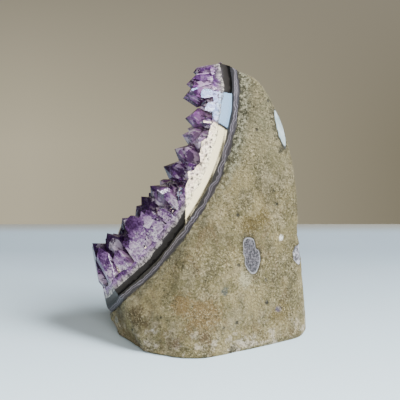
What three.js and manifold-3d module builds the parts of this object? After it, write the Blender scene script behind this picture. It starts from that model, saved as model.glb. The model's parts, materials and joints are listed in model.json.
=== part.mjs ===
// Amethyst geode, a broken piece of the geode wall sawn flat so that it stands.
// Millimetres, +Z up, the sawn base on z = 0. The hollow of the geode opens to -X and up.
import * as THREE from "three";
import { mergeVertices } from "three/addons/utils/BufferGeometryUtils.js";
import Module from "manifold-3d";

const wasm = await Module();
wasm.setup();

// ---- driving dimensions -------------------------------------------------------------------
const HEART = new THREE.Vector3(31.5, 4, 36); // inside the rock; it sees every surface once
const GAP = 0.3; // between neighbouring pieces
const ROCK_SHARPNESS = 0.6; // per mm; higher makes the edges between the rock's faces sharper
const ROCK_LUMPS = 0.8; // height of the rock's broad lumps

// Broken faces of the rock: yaw from the near side (-Y) towards +X, tilt up, a point on the face.
const ROCK_FACES = [
  [8, 14, [0, -33.5, 0]],
  [31, 6.5, [28, -17.8, 0]],
  [72, 2, [42.8, -6, 15]],
  [108, 5, [39.6, 12, 15]],
  [92, 20, [41.4, 8, 66]],
  [92, 31, [32.7, 8, 90]],
  [95, 52, [24, 8, 103.2]],
  [90, 80, [10, 8, 107.6]],
  [150, 10, [20, 26, 20]],
  [180, 9, [0, 30.5, 10]],
  [-158, 9, [-15, 29, 0]],
  [-22, 11, [-9, -31.5, 0]],
  [-46, 2, [-21.2, -27.2, 0]],
  [-74, -6, [-36, -8, 8]],
  [-72, -40, [-32.5, -9, 0]],
  [-95, -14, [-34.5, 8, 0]],
  [-125, -14, [-29, 21, 0]],
];

// Ground and polished flats round the rim of the hollow, given in the same way.
const POLISHED_FLATS = [
  [-12, 45, [8, 1.85, 98.3]],
  [-14, 33, [5, -4.04, 88.5]],
  [-20, 23, [10, -12.9, 73]],
  [-34, 20.5, [-12, -18.5, 38]],
  [-60, -8, [-34.4, -9.8, 24]],
  [-88, -3, [-42.6, 6, 33]],
  [-122, -8, [-40, 18, 28]],
  [-158, 12, [-10, 26, 45]],
  [-178, 12, [0, 26.5, 50]],
  [-170, 30, [8, 21.5, 95]],
  [-90, 78, [2, 12, 105.6]],
  [-90, 52, [-2, 8, 107.2]],
  [-90, 33, [-6.5, 6, 97]],
];

// The layers are bowl-shaped sheets, stacked along the axis of the hollow.
const HOLLOW_TILT = 25.2; // the axis leans this many degrees above -X
const SHEET_CENTRE = new THREE.Vector3(0, 6, 55);
const SHEET_OFFSET = 11.2; // from the outside of the agate to SHEET_CENTRE, along the axis
const BOWL_UP = 0.0068; // curvature of the sheets up and down the hollow, per mm
const BOWL_ACROSS = 0.0175; // curvature across the hollow, per mm
const AGATE_TOP = 3.3; // level of each sheet above the outside of the agate
const CHALCEDONY_TOP = 7.5;
const QUARTZ_TOP = 13;
const CRYSTAL_TOP = 26.5;

// The crystals stand higher by this much at the toe, and lower at the peak; between them the
// change runs over this far up and down the hollow from the level place.
const CRYSTAL_TOP_GAIN = 5;
const GAIN_LEVEL_PLACE = 5;
const GAIN_RUN = 30;
const CRYSTAL_TOP_DROP = 0.012; // and they stand lower away from the middle line, per mm squared

// Crystals
const CRYSTAL_SPACING = 9.6;
const ROW_SPACING = 0.87 * CRYSTAL_SPACING;
const CROWDED = 0.55 * CRYSTAL_SPACING; // no scattered crystal stands this near a tall one
const STRAY = 0.25 * CRYSTAL_SPACING; // most that a foot strays from its place in the row
const CRYSTAL_ACROSS = [6, 9.2]; // across the flats
const CRYSTAL_LEAN = 13; // most, in degrees from the sheet's own normal
const CRYSTAL_ROOT = 3; // how deep the crystals are rooted in the quartz
const CRYSTAL_SHORTFALL = 5; // most that a crystal stops below its full height
const WIDTH_FAVOUR = 0.15; // a wide crystal stops short by this much less for each mm of width
const RIM_MARGIN = 2; // a foot may stand this far outside the rim
const POINT_HEIGHT = 0.62; // of the six-faced point, as a share of the width
const SHOULDER_STAGGER = 0.12; // the point's corners stand high and low by this share of the width
const POINT_STRAY = 0.25; // most that the tip stands off the middle, as a share of the radius
const GROWTH_REACH = [66, 34]; // crystals are tried this far from the middle, up and across
const SEED = 41;

// The crystals that stand highest along the near side: tip, width, lean up the hollow and across.
const TALL_CRYSTALS = [
  { tip: [-42.5, 4, 35.6], wide: 8, lean: [-14, 4] },
  { tip: [-36.2, 0, 41], wide: 7.5, lean: [4, -6] },
  { tip: [-28.9, -4, 49.5], wide: 7, lean: [8, 0] },
  { tip: [-24.9, -7, 52.4], wide: 5.5, lean: [-6, -8] },
  { tip: [-22.5, 2, 55.5], wide: 8, lean: [6, 4] },
  { tip: [-18.9, 0, 60.4], wide: 8.5, lean: [10, -4] },
  { tip: [-13.6, 1, 68], wide: 7, lean: [-4, 0] },
  { tip: [-9.2, 1, 75], wide: 8, lean: [6, -6] },
  { tip: [-6.3, 3, 80.3], wide: 6.5, lean: [0, 4] },
  { tip: [-5.1, 4.5, 86.5], wide: 7, lean: [-8, 0] },
  { tip: [-5.9, 7.5, 94], wide: 8.5, lean: [-20, 0] },
  { tip: [-4.6, 9.5, 99.2], wide: 7, lean: [-6, 6] },
  { tip: [-1.9, 12, 103.4], wide: 6, lean: [-4, 0] },
];

// Fineness of the grids
const ROUND_STEPS = 52;
const TURN_CROWDING = 0.34;
const SLAB_CELL = 4; // of the bent slab that trims the crystals' roots
const SLAB_DEPTH = 20;
const SHEET_STEPS = 4;
const RIM_STEPS = 2;
const ROCK_STEPS = 16;
const LUMPS_FADE = 0.15; // the lumps die away over this share of the rock next to the rim
const WELD = 1e-4; // corners nearer than this are one

// Almond-shaped fillings of gas bubbles in the rock: where they show, their half sizes, and
// how far each long axis leans in the face.
const NODULES = [
  { name: "agate_nodule", at: [21, -14.6, 36.5], half: [3.1, 4.5, 7.2], lean: 4, colour: "#84847f" },
  { name: "quartz_nodule", at: [39.2, -2.6, 34], half: [3.4, 3.6, 4.2], lean: 0, colour: "#d9d8d0" },
  { name: "chalcedony_nodule", at: [32, -4, 84], half: [4.2, 5.2, 10.5], lean: -14, colour: "#b9c4c3" },
];

// ---- the rock's outer form ------------------------------------------------------------------
function faceNormal(yaw, tilt) {
  const [y, t] = [yaw, tilt].map(THREE.MathUtils.degToRad);
  return new THREE.Vector3(Math.sin(y) * Math.cos(t), -Math.cos(y) * Math.cos(t), Math.sin(t));
}

function readFaces(rows) {
  return rows.map(([yaw, tilt, point]) => {
    const normal = faceNormal(yaw, tilt);
    return { normal, distance: normal.dot(new THREE.Vector3(...point)) };
  });
}
const rockFaces = readFaces(ROCK_FACES);
const polishedFlats = readFaces(POLISHED_FLATS);

// Broad lumps of the broken rock: a few crossed waves, between about -1 and 1.
function lumps(p) {
  const long = Math.sin(0.11 * p.x + 0.07 * p.y + 1.1) * Math.sin(0.09 * p.z - 0.05 * p.x + 0.4);
  const middle = Math.sin(0.23 * p.y - 0.17 * p.z + 2.0) * Math.sin(0.21 * p.x + 0.12 * p.z);
  const short = Math.sin(0.45 * p.x + 0.31 * p.z) * Math.sin(0.41 * p.z - 0.38 * p.y + 0.7);
  return 0.5 * long + 0.3 * middle + 0.2 * short;
}

// Distance from the heart to the nearest of some flat faces, in a direction.
function reachToFaces(direction, faces) {
  let nearest = Infinity;
  for (const { normal, distance } of faces) {
    const approach = direction.dot(normal);
    if (approach > 0) nearest = Math.min(nearest, (distance - normal.dot(HEART)) / approach);
  }
  return nearest;
}

// How far the natural rock reaches: to where a soft maximum of the heights above its faces is
// nought, found by Newton's steps from the hard edge inwards, with lumps added.
function rockReach(direction, roughness) {
  let reach = reachToFaces(direction, rockFaces);
  for (let step = 0; step < 7; step += 1) {
    let [sum, slope] = [0, 0];
    for (const { normal, distance } of rockFaces) {
      const approach = direction.dot(normal);
      const height = normal.dot(HEART) + reach * approach - distance;
      const weight = Math.exp(ROCK_SHARPNESS * height);
      sum += weight;
      slope += weight * approach;
    }
    reach -= Math.log(sum) / ROCK_SHARPNESS / (slope / sum);
  }
  const p = direction.clone().multiplyScalar(reach).add(HEART);
  return reach + roughness * ROCK_LUMPS * lumps(p);
}

const floorReach = (direction) => (direction.z < 0 ? -HEART.z / direction.z : Infinity);

// The ground outside, without the base.
const outerReach = (direction, roughness) =>
  Math.min(rockReach(direction, roughness), reachToFaces(direction, polishedFlats));

// ---- the sheets -----------------------------------------------------------------------------
const tilt = THREE.MathUtils.degToRad(HOLLOW_TILT);
const axis = new THREE.Vector3(-Math.cos(tilt), 0, Math.sin(tilt)); // out of the hollow
const upslope = new THREE.Vector3(Math.sin(tilt), 0, Math.cos(tilt));
const across = new THREE.Vector3(0, 1, 0);

// Distance from the heart, in a direction, to the sheet at a level: the nearer root of
//   level = a + b r - c r^2.
function sheetReach(direction, level) {
  const from = HEART.clone().sub(SHEET_CENTRE);
  const [s, t, w] = [axis, upslope, across].map((v) => from.dot(v));
  const [ds, dt, dw] = [axis, upslope, across].map((v) => direction.dot(v));
  const a = s + SHEET_OFFSET - BOWL_UP * t * t - BOWL_ACROSS * w * w - level;
  const b = ds - 2 * BOWL_UP * t * dt - 2 * BOWL_ACROSS * w * dw;
  const c = BOWL_UP * dt * dt + BOWL_ACROSS * dw * dw;
  const inside = b * b + 4 * c * a;
  if (b <= 0 || inside < 0) return Infinity;
  return (-2 * a) / (b + Math.sqrt(inside));
}

// A point of a sheet above the place (t, w) measured up and across the hollow.
function sheetPoint(t, w, level) {
  const s = level - SHEET_OFFSET + BOWL_UP * t * t + BOWL_ACROSS * w * w;
  return SHEET_CENTRE.clone()
    .addScaledVector(axis, s).addScaledVector(upslope, t).addScaledVector(across, w);
}

function levelOf(point) {
  const from = point.clone().sub(SHEET_CENTRE);
  const [s, t, w] = [axis, upslope, across].map((v) => from.dot(v));
  return s + SHEET_OFFSET - BOWL_UP * t * t - BOWL_ACROSS * w * w;
}

function sheetNormal(t, w) {
  return axis.clone()
    .addScaledVector(upslope, -2 * BOWL_UP * t)
    .addScaledVector(across, -2 * BOWL_ACROSS * w)
    .normalize();
}

// ---- directions -----------------------------------------------------------------------------
// A direction at a polar angle from the hollow's axis. Turn 0 is towards the toe, a quarter turn
// is the near side and half a turn is the peak.
function aboutAxis(turn, polar) {
  return axis.clone().multiplyScalar(Math.cos(polar))
    .addScaledVector(upslope, -Math.cos(turn) * Math.sin(polar))
    .addScaledVector(across, -Math.sin(turn) * Math.sin(polar));
}

// The same turn about the plumb line, at a polar angle from straight down.
function aboutPlumb(turn, polar) {
  return new THREE.Vector3(
    -Math.cos(turn) * Math.sin(polar), -Math.sin(turn) * Math.sin(polar), -Math.cos(polar));
}

const polarOf = (direction) => Math.acos(-direction.z);

// The polar angle at which a test that starts true becomes false.
function lastTrue(test, from, to) {
  let [low, high] = [from, to];
  for (let i = 0; i < 40; i += 1) {
    const middle = (low + high) / 2;
    if (test(middle)) low = middle;
    else high = middle;
  }
  return low;
}

// Polar angle of the line where a sheet comes out through the rim.
function rimAngle(turn, level) {
  const buried = (polar) => {
    const d = aboutAxis(turn, polar);
    return sheetReach(d, level) < outerReach(d, 0);
  };
  return lastTrue(buried, 0, 0.75 * Math.PI);
}

// Direction of the sawn base's edge.
function baseEdge(turn) {
  const onBase = (polar) => {
    const d = aboutPlumb(turn, polar);
    return floorReach(d) < rockReach(d, 1);
  };
  return aboutPlumb(turn, lastTrue(onBase, 0, 0.499 * Math.PI));
}

// ---- closed skins from rings of points --------------------------------------------------------
// Turns round the hollow, closer together at the toe and the peak, where the rim bends most.
const turns = Array.from({ length: ROUND_STEPS }, (_, i) => {
  const even = (2 * Math.PI * i) / ROUND_STEPS;
  return even - TURN_CROWDING * Math.sin(2 * even);
});
const at = (direction, reach) => direction.clone().multiplyScalar(reach).add(HEART);

// Rings run round the turns; the first and last are closed with a fan to their own pole.
function skin(rings, firstPole, lastPole) {
  const points = [firstPole, ...rings.flat(), lastPole];
  const last = points.length - 1;
  const index = [];
  for (let i = 0; i < ROUND_STEPS; i += 1) {
    const next = (i + 1) % ROUND_STEPS;
    index.push(0, 1 + i, 1 + next);
    const end = 1 + (rings.length - 1) * ROUND_STEPS;
    index.push(last, end + next, end + i);
    for (let ring = 0; ring < rings.length - 1; ring += 1) {
      const low = 1 + ring * ROUND_STEPS;
      const high = low + ROUND_STEPS;
      index.push(low + i, high + i, high + next);
      index.push(low + i, high + next, low + next);
    }
  }
  const geometry = new THREE.BufferGeometry().setFromPoints(points);
  geometry.setIndex(index);
  return geometry;
}

// The part of a sheet inside the rim, from the pole outwards.
function sheetRings(level, steps) {
  const rims = turns.map((turn) => rimAngle(turn, level));
  return Array.from({ length: steps }, (_, k) => turns.map((turn, i) => {
    const d = aboutAxis(turn, (rims[i] * (k + 1)) / steps);
    return at(d, sheetReach(d, level));
  }));
}

// The polished strip between two sheets' rim lines, without either line.
function rimRings(lowLevel, highLevel, steps) {
  const rimAngles = (level) => turns.map((turn) => rimAngle(turn, level));
  const [low, high] = [lowLevel, highLevel].map(rimAngles);
  return Array.from({ length: steps - 1 }, (_, k) => turns.map((turn, i) => {
    const d = aboutAxis(turn, THREE.MathUtils.lerp(high[i], low[i], (k + 1) / steps));
    return at(d, outerReach(d, 0));
  }));
}

// One layer of the geode's wall, between two levels.
function layerGeometry(lowLevel, highLevel) {
  const top = sheetRings(highLevel, SHEET_STEPS);
  const strip = rimRings(lowLevel, highLevel, RIM_STEPS);
  const bottom = sheetRings(lowLevel, SHEET_STEPS).reverse();
  const pole = (level) => at(axis, sheetReach(axis, level));
  return skin([...top, ...strip, ...bottom], pole(highLevel), pole(lowLevel));
}

// All that lies below a sheet and far past its rim: a bent slab, as a grid up and across.
function belowSheet(level) {
  const [sizeUp, sizeAcross] = GROWTH_REACH.map((reach) => 2 * reach);
  const [cellsUp, cellsAcross] = [sizeUp, sizeAcross].map((size) => Math.ceil(size / SLAB_CELL));
  const slab = new THREE.BoxGeometry(1, 1, 1, cellsUp, cellsAcross, 1);
  const places = slab.attributes.position;
  for (let i = 0; i < places.count; i += 1) {
    const t = sizeUp * places.getX(i);
    const w = sizeAcross * places.getY(i);
    const p = sheetPoint(t, w, places.getZ(i) > 0 ? level : level - SLAB_DEPTH);
    places.setXYZ(i, p.x, p.y, p.z);
  }
  return slab;
}

// The rock: the sheet that carries the agate, the broken outside, and the sawn base. Outside, a
// curved line runs over the rock from each point of the rim to the base's edge at the same turn.
function rockGeometry(level) {
  const sheet = sheetRings(level, SHEET_STEPS);
  const starts = turns.map((turn) => aboutAxis(turn, rimAngle(turn, level)));
  const ends = turns.map(baseEdge);
  const outside = Array.from({ length: ROCK_STEPS - 1 }, (_, k) => turns.map((turn, i) => {
    const share = (k + 1) / ROCK_STEPS;
    const halfWay = aboutPlumb(turn, (polarOf(starts[i]) + polarOf(ends[i])) / 2);
    const line = new THREE.QuadraticBezierCurve3(starts[i], halfWay, ends[i]);
    const d = line.getPoint(share).normalize();
    const roughness = THREE.MathUtils.smoothstep(share, 0, LUMPS_FADE);
    return at(d, Math.min(outerReach(d, roughness), floorReach(d)));
  }));
  const underside = new THREE.Vector3(HEART.x, HEART.y, 0);
  const edge = ends.map((d) => at(d, floorReach(d)).setZ(0));
  const pole = at(axis, sheetReach(axis, level));
  return skin([...sheet, ...outside, edge], pole, underside);
}

// ---- solids -----------------------------------------------------------------------------------
function solidOf(geometry) {
  for (const name of ["normal", "uv"]) geometry.deleteAttribute(name);
  const merged = mergeVertices(geometry, WELD);
  return new wasm.Manifold(new wasm.Mesh({
    numProp: 3,
    vertProperties: Float32Array.from(merged.attributes.position.array),
    triVerts: Uint32Array.from(merged.index.array),
  }));
}

function geometryOf(solid) {
  const mesh = solid.getMesh();
  const geometry = new THREE.BufferGeometry();
  geometry.setAttribute("position", new THREE.BufferAttribute(mesh.vertProperties, 3));
  geometry.setIndex(new THREE.BufferAttribute(mesh.triVerts, 1));
  geometry.computeVertexNormals();
  return geometry;
}

// ---- the crystals -----------------------------------------------------------------------------
// Repeatable random numbers from 0 to 1.
function randomSource(seed) {
  let state = seed;
  return () => {
    state = (state * 1664525 + 1013904223) % 4294967296;
    return state / 4294967296;
  };
}

// A six-sided prism with a six-faced point; the point stands off the middle, as on a real crystal.
function crystalGeometry(foot, direction, length, acrossFlats, spin, offset) {
  const corner = acrossFlats / Math.sqrt(3);
  const shoulder = length - POINT_HEIGHT * acrossFlats;
  const stagger = SHOULDER_STAGGER * acrossFlats;
  const ring = (height, rise) => Array.from({ length: 6 }, (_, i) => {
    const angle = (Math.PI * i) / 3;
    const up = height + (i % 2 ? rise : -rise);
    return new THREE.Vector3(corner * Math.cos(angle), corner * Math.sin(angle), up);
  });
  const low = ring(0, 0);
  const high = ring(shoulder, stagger);
  const tip = new THREE.Vector3(offset[0] * corner, offset[1] * corner, length);
  const points = [...low, ...high, tip, new THREE.Vector3()];
  const index = [];
  for (let i = 0; i < 6; i += 1) {
    const j = (i + 1) % 6;
    index.push(i, j, 6 + j, i, 6 + j, 6 + i, 6 + i, 6 + j, 12, j, i, 13);
  }
  const geometry = new THREE.BufferGeometry().setFromPoints(points);
  geometry.setIndex(index);
  const turn = new THREE.Quaternion().setFromUnitVectors(new THREE.Vector3(0, 0, 1), direction);
  geometry.rotateZ(spin);
  geometry.applyQuaternion(turn);
  geometry.translate(foot.x, foot.y, foot.z);
  return geometry;
}

// Is a point inside the ground outside, or out of it by less than a margin?
function insideRim(point, margin) {
  const d = point.clone().sub(HEART);
  const distance = d.length();
  return distance < outerReach(d.normalize(), 0) + margin;
}

// The sheet's normal at (t, w), leant by angles in degrees up the hollow and across it.
function growthDirection(t, w, leanUp, leanAcross) {
  return sheetNormal(t, w)
    .addScaledVector(upslope, Math.tan(THREE.MathUtils.degToRad(leanUp)))
    .addScaledVector(across, Math.tan(THREE.MathUtils.degToRad(leanAcross))).normalize();
}

// The foot, direction and length of a tall crystal, worked back from its tip.
function readTall({ tip, wide, lean }) {
  const end = new THREE.Vector3(...tip);
  const from = end.clone().sub(SHEET_CENTRE);
  const direction = growthDirection(from.dot(upslope), from.dot(across), ...lean);
  const length = levelOf(end) - QUARTZ_TOP + CRYSTAL_ROOT;
  return { foot: end.addScaledVector(direction, -length), direction, length, wide };
}
const tallCrystals = TALL_CRYSTALS.map(readTall);

// Crystals stand side by side over the whole hollow, in rows set half a step over.
function scatteredCrystals() {
  const random = randomSource(SEED);
  const between = (low, high) => low + (high - low) * random();
  const stray = () => between(-STRAY, STRAY);
  const crystals = [];
  const tallFeet = tallCrystals.map(({ foot }) => foot);
  const [reachUp, reachAcross] = GROWTH_REACH;
  for (let row = 0; row < (2 * reachUp) / ROW_SPACING; row += 1) {
    for (let w0 = -reachAcross; w0 < reachAcross; w0 += CRYSTAL_SPACING) {
      const t = row * ROW_SPACING - reachUp + stray();
      const w = w0 + (row % 2) * 0.5 * CRYSTAL_SPACING + stray();
      const wide = between(...CRYSTAL_ACROSS);
      const lean = [between(-CRYSTAL_LEAN, CRYSTAL_LEAN), between(-CRYSTAL_LEAN, CRYSTAL_LEAN)];
      const favour = 1 - WIDTH_FAVOUR * (wide - CRYSTAL_ACROSS[0]);
      const short = between(0, CRYSTAL_SHORTFALL) * favour;
      const spin = between(0, 1);
      const offset = [between(-POINT_STRAY, POINT_STRAY), between(-POINT_STRAY, POINT_STRAY)];
      const foot = sheetPoint(t, w, QUARTZ_TOP - CRYSTAL_ROOT);
      const crowded = tallFeet.some((tallFoot) => tallFoot.distanceTo(foot) < CROWDED);
      if (crowded || !insideRim(foot, RIM_MARGIN)) continue;
      const gain = THREE.MathUtils.clamp((GAIN_LEVEL_PLACE - t) / GAIN_RUN, -1, 1) * CRYSTAL_TOP_GAIN;
      const top = CRYSTAL_TOP + gain - CRYSTAL_TOP_DROP * w * w;
      const length = top - QUARTZ_TOP + CRYSTAL_ROOT - short;
      const direction = growthDirection(t, w, ...lean);
      crystals.push(crystalGeometry(foot, direction, length, wide, spin, offset));
    }
  }
  return crystals;
}

// Quartz and crystals are one growth, ground flat together where they meet the rim.
function druseSolid() {
  const floor = CHALCEDONY_TOP + GAP / 2;
  const tall = tallCrystals.map(({ foot, direction, length, wide }, index) =>
    crystalGeometry(foot, direction, length, wide, index, [0, 0]));
  const crystals = [...scatteredCrystals(), ...tall];
  const grown = crystals.map(solidOf).reduce((joined, crystal) => joined.add(crystal));
  const rooted = grown.subtract(solidOf(belowSheet(floor))).subtract(solidOf(rockGeometry(floor)));
  let druse = rooted.add(solidOf(layerGeometry(floor, QUARTZ_TOP)));
  for (const { normal, distance } of [...polishedFlats, ...rockFaces]) {
    druse = druse.trimByPlane(normal.clone().negate().toArray(), -distance);
  }
  const parts = druse.decompose();
  return parts.reduce((largest, part) => (part.volume() > largest.volume() ? part : largest));
}

// ---- nodules ----------------------------------------------------------------------------------
function noduleSolid({ at: place, half, lean }, growth) {
  const blob = new THREE.IcosahedronGeometry(1, 1);
  blob.scale(...half.map((size) => size + growth));
  blob.rotateY(THREE.MathUtils.degToRad(lean));
  blob.translate(...place);
  return solidOf(blob);
}

// ---- the object -------------------------------------------------------------------------------
const geode = new THREE.Group();

function addNode(name, geometry, colour, roughness) {
  geometry.computeVertexNormals();
  const material = new THREE.MeshStandardMaterial({ color: colour, roughness, metalness: 0 });
  const mesh = new THREE.Mesh(geometry, material);
  mesh.name = name;
  geode.add(mesh);
}

const wholeRock = solidOf(rockGeometry(-GAP / 2));
let rock = wholeRock;
for (const nodule of NODULES) {
  rock = rock.subtract(noduleSolid(nodule, GAP));
  addNode(nodule.name, geometryOf(wholeRock.intersect(noduleSolid(nodule, 0))), nodule.colour, 0.45);
}
addNode("basalt_rock", geometryOf(rock), "#96896a", 0.9);
addNode("banded_agate", layerGeometry(GAP / 2, AGATE_TOP - GAP / 2), "#4d4047", 0.18);
addNode("grey_chalcedony", layerGeometry(AGATE_TOP + GAP / 2, CHALCEDONY_TOP - GAP / 2), "#5b5c5c", 0.15);
addNode("amethyst_druse", geometryOf(druseSolid()), "#6a4a8c", 0.1);

export default geode;
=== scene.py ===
"""The looks of a cut-base amethyst geode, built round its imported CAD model."""
import json

import bmesh
import bpy
import numpy as np
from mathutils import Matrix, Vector

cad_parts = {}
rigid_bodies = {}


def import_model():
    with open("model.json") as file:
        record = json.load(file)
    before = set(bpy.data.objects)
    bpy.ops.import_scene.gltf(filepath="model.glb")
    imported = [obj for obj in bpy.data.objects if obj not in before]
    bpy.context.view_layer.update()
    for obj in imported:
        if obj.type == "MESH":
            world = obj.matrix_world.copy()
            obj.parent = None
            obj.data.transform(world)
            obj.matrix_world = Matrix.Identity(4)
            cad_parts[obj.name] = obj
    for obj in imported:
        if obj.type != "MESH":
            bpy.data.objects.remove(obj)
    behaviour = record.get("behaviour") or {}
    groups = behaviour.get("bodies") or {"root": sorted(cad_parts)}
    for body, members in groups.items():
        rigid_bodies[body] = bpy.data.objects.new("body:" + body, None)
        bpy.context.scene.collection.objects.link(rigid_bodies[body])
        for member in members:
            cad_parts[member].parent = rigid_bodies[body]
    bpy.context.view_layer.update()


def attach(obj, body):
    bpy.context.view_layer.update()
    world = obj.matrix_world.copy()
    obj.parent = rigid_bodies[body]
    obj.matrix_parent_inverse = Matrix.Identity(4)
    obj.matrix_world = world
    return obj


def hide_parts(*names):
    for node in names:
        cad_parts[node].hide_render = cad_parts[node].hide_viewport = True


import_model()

MM = 0.001  # shapes are worked out in millimetres and made in metres

# ---- the CAD model's driving dimensions, in millimetres and degrees ------------------------------
HEART = np.array([31.5, 4.0, 36.0])  # a point inside the rock that sees every surface once
ROCK_SHARPNESS = 0.6
ROCK_LUMPS = 0.8
ROCK_FACES = [  # yaw from the near side, tilt up, a point on the face
    (8, 14, (0, -33.5, 0)),
    (31, 6.5, (28, -17.8, 0)),
    (72, 2, (42.8, -6, 15)),
    (108, 5, (39.6, 12, 15)),
    (92, 20, (41.4, 8, 66)),
    (92, 31, (32.7, 8, 90)),
    (95, 52, (24, 8, 103.2)),
    (90, 80, (10, 8, 107.6)),
    (150, 10, (20, 26, 20)),
    (180, 9, (0, 30.5, 10)),
    (-158, 9, (-15, 29, 0)),
    (-22, 11, (-9, -31.5, 0)),
    (-46, 2, (-21.2, -27.2, 0)),
    (-74, -6, (-36, -8, 8)),
    (-72, -40, (-32.5, -9, 0)),
    (-95, -14, (-34.5, 8, 0)),
    (-125, -14, (-29, 21, 0)),
]
POLISHED_FLATS = [
    (-12, 45, (8, 1.85, 98.3)),
    (-14, 33, (5, -4.04, 88.5)),
    (-20, 23, (10, -12.9, 73)),
    (-34, 20.5, (-12, -18.5, 38)),
    (-60, -8, (-34.4, -9.8, 24)),
    (-88, -3, (-42.6, 6, 33)),
    (-122, -8, (-40, 18, 28)),
    (-158, 12, (-10, 26, 45)),
    (-178, 12, (0, 26.5, 50)),
    (-170, 30, (8, 21.5, 95)),
    (-90, 78, (2, 12, 105.6)),
    (-90, 52, (-2, 8, 107.2)),
    (-90, 33, (-6.5, 6, 97)),
]
HOLLOW_TILT = np.radians(25.2)
AXIS = np.array([-np.cos(HOLLOW_TILT), 0, np.sin(HOLLOW_TILT)])  # out of the hollow
UPSLOPE = np.array([np.sin(HOLLOW_TILT), 0, np.cos(HOLLOW_TILT)])
ACROSS = np.array([0.0, 1.0, 0.0])
SHEET_CENTRE = np.array([0.0, 6.0, 55.0])
SHEET_OFFSET = 11.2
BOWL_UP = 0.0068
BOWL_ACROSS = 0.0175
AGATE_TOP = 3.3
CHALCEDONY_TOP = 7.5
QUARTZ_TOP = 12.5
CRYSTAL_TOP = 26.0
CRYSTAL_TOP_GAIN = 5.0
CRYSTAL_TOP_DROP = 0.012
TALL_CRYSTALS = [  # tip, width, lean up the hollow and across it
    ((-42.5, 4, 35.6), 8, (-14, 4)),
    ((-36.2, 0, 41), 7.5, (4, -6)),
    ((-28.9, -4, 49.5), 7, (8, 0)),
    ((-24.9, -7, 52.4), 5.5, (-6, -8)),
    ((-22.5, 2, 55.5), 8, (6, 4)),
    ((-18.9, 0, 60.4), 8.5, (10, -4)),
    ((-13.6, 1, 68), 7, (-4, 0)),
    ((-9.2, 1, 75), 8, (6, -6)),
    ((-6.3, 3, 80.3), 6.5, (0, 4)),
    ((-5.1, 4.5, 86.5), 7, (-8, 0)),
    ((-5.9, 7.5, 94), 8.5, (-20, 0)),
    ((-4.6, 9.5, 99.2), 7, (-6, 6)),
    ((-1.9, 12, 103.4), 6, (-4, 0)),
]

# ---- fineness ------------------------------------------------------------------------------------
SEAM = 0.02  # left between grown-together layers, so that their solids never share a face
TURN_STEPS = 424
ROCK_STEPS = 210
SHEET_STEPS = 10
STRIP_STEPS = 8
SAWN_BEVEL = 1.0  # the edge of the base draws in this much under the last of the broken skin


def unit(v):
    return v / np.linalg.norm(v, axis=-1, keepdims=True)


def smooth_step(x, low, high):
    x = np.clip((x - low) / (high - low), 0, 1)
    return x * x * (3 - 2 * x)


# ---- noise ---------------------------------------------------------------------------------------
LATTICE = np.random.default_rng(7).uniform(-1, 1, (32, 32, 32))


def noise(points, size):
    """Random heights on a cubic lattice of the given size, blended smoothly between its corners."""
    q = points / size
    cell = np.floor(q).astype(int)
    f = q - cell
    f = f * f * f * (f * (f * 6 - 15) + 10)
    total = np.zeros(points.shape[:-1])
    for corner in np.ndindex(2, 2, 2):
        height = LATTICE[tuple(np.moveaxis((cell + corner) % 32, -1, 0))]
        total += height * np.where(corner, f, 1 - f).prod(-1)
    return total


def crags(points, size, octaves):
    """Noise added to itself at half the size and half the height, again and again."""
    return sum(noise(points + 17.3 * n, size / 2**n) / 2**n for n in range(octaves))


# ---- the outer form ------------------------------------------------------------------------------
def read_faces(rows):
    yaw, tilt = (np.radians([row[n] for row in rows]) for n in (0, 1))
    normals = np.stack([np.sin(yaw) * np.cos(tilt), -np.cos(yaw) * np.cos(tilt), np.sin(tilt)], -1)
    return normals, np.einsum("ij,ij->i", normals, np.array([row[2] for row in rows], float))


ROCK = read_faces(ROCK_FACES)
FLATS = read_faces(POLISHED_FLATS)


def lumps(p):
    """The CAD model's broad lumps: three pairs of crossed waves."""
    x, y, z = p[..., 0], p[..., 1], p[..., 2]
    long = np.sin(0.11 * x + 0.07 * y + 1.1) * np.sin(0.09 * z - 0.05 * x + 0.4)
    middle = np.sin(0.23 * y - 0.17 * z + 2.0) * np.sin(0.21 * x + 0.12 * z)
    short = np.sin(0.45 * x + 0.31 * z) * np.sin(0.41 * z - 0.38 * y + 0.7)
    return 0.5 * long + 0.3 * middle + 0.2 * short


def at(d, reach):
    return HEART + d * reach[..., None]


def level_of(p):
    q = p - SHEET_CENTRE
    return q @ AXIS + SHEET_OFFSET - BOWL_UP * (q @ UPSLOPE) ** 2 - BOWL_ACROSS * (q @ ACROSS) ** 2


def reach_to_faces(d, faces):
    """Distance from the heart along d to the nearest of some flat faces."""
    normals, distances = faces
    approach = d @ normals.T
    reach = (distances - normals @ HEART) / np.maximum(approach, 1e-9)
    return reach.min(-1)


def rock_reach(d):
    """Distance along d to where a soft maximum of the heights above the rock's faces is nought."""
    normals, distances = ROCK
    reach = reach_to_faces(d, ROCK)
    approach = d @ normals.T
    start = normals @ HEART - distances
    for _ in range(7):
        weight = np.exp(ROCK_SHARPNESS * (start + reach[..., None] * approach))
        total = weight.sum(-1)
        slope = (weight * approach).sum(-1) / total
        reach = reach - np.log(total) / ROCK_SHARPNESS / slope
    return reach


def floor_reach(d):
    return np.where(d[..., 2] < -1e-9, -HEART[2] / np.minimum(d[..., 2], -1e-9), np.inf)


ROUNDING = 0.1  # the polish rolls over towards the rock with this curvature, per mm
ROUNDING_START = 5.0  # level at which it begins
RECOVERY = 8.0  # below the contact, the rock comes part of the way back out over this much level


def ground(d):
    """Distance to the flats and the rock's faces, less the roll-over of the rim next to the rock."""
    reach = np.minimum(rock_reach(d), reach_to_faces(d, FLATS))
    level = level_of(at(d, reach))
    below = np.clip(ROUNDING_START - level, 0, ROUNDING_START)
    return reach - (1 - 0.4 * smooth_step(-level, 0, RECOVERY)) * ROUNDING * below**2 / 2


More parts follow.
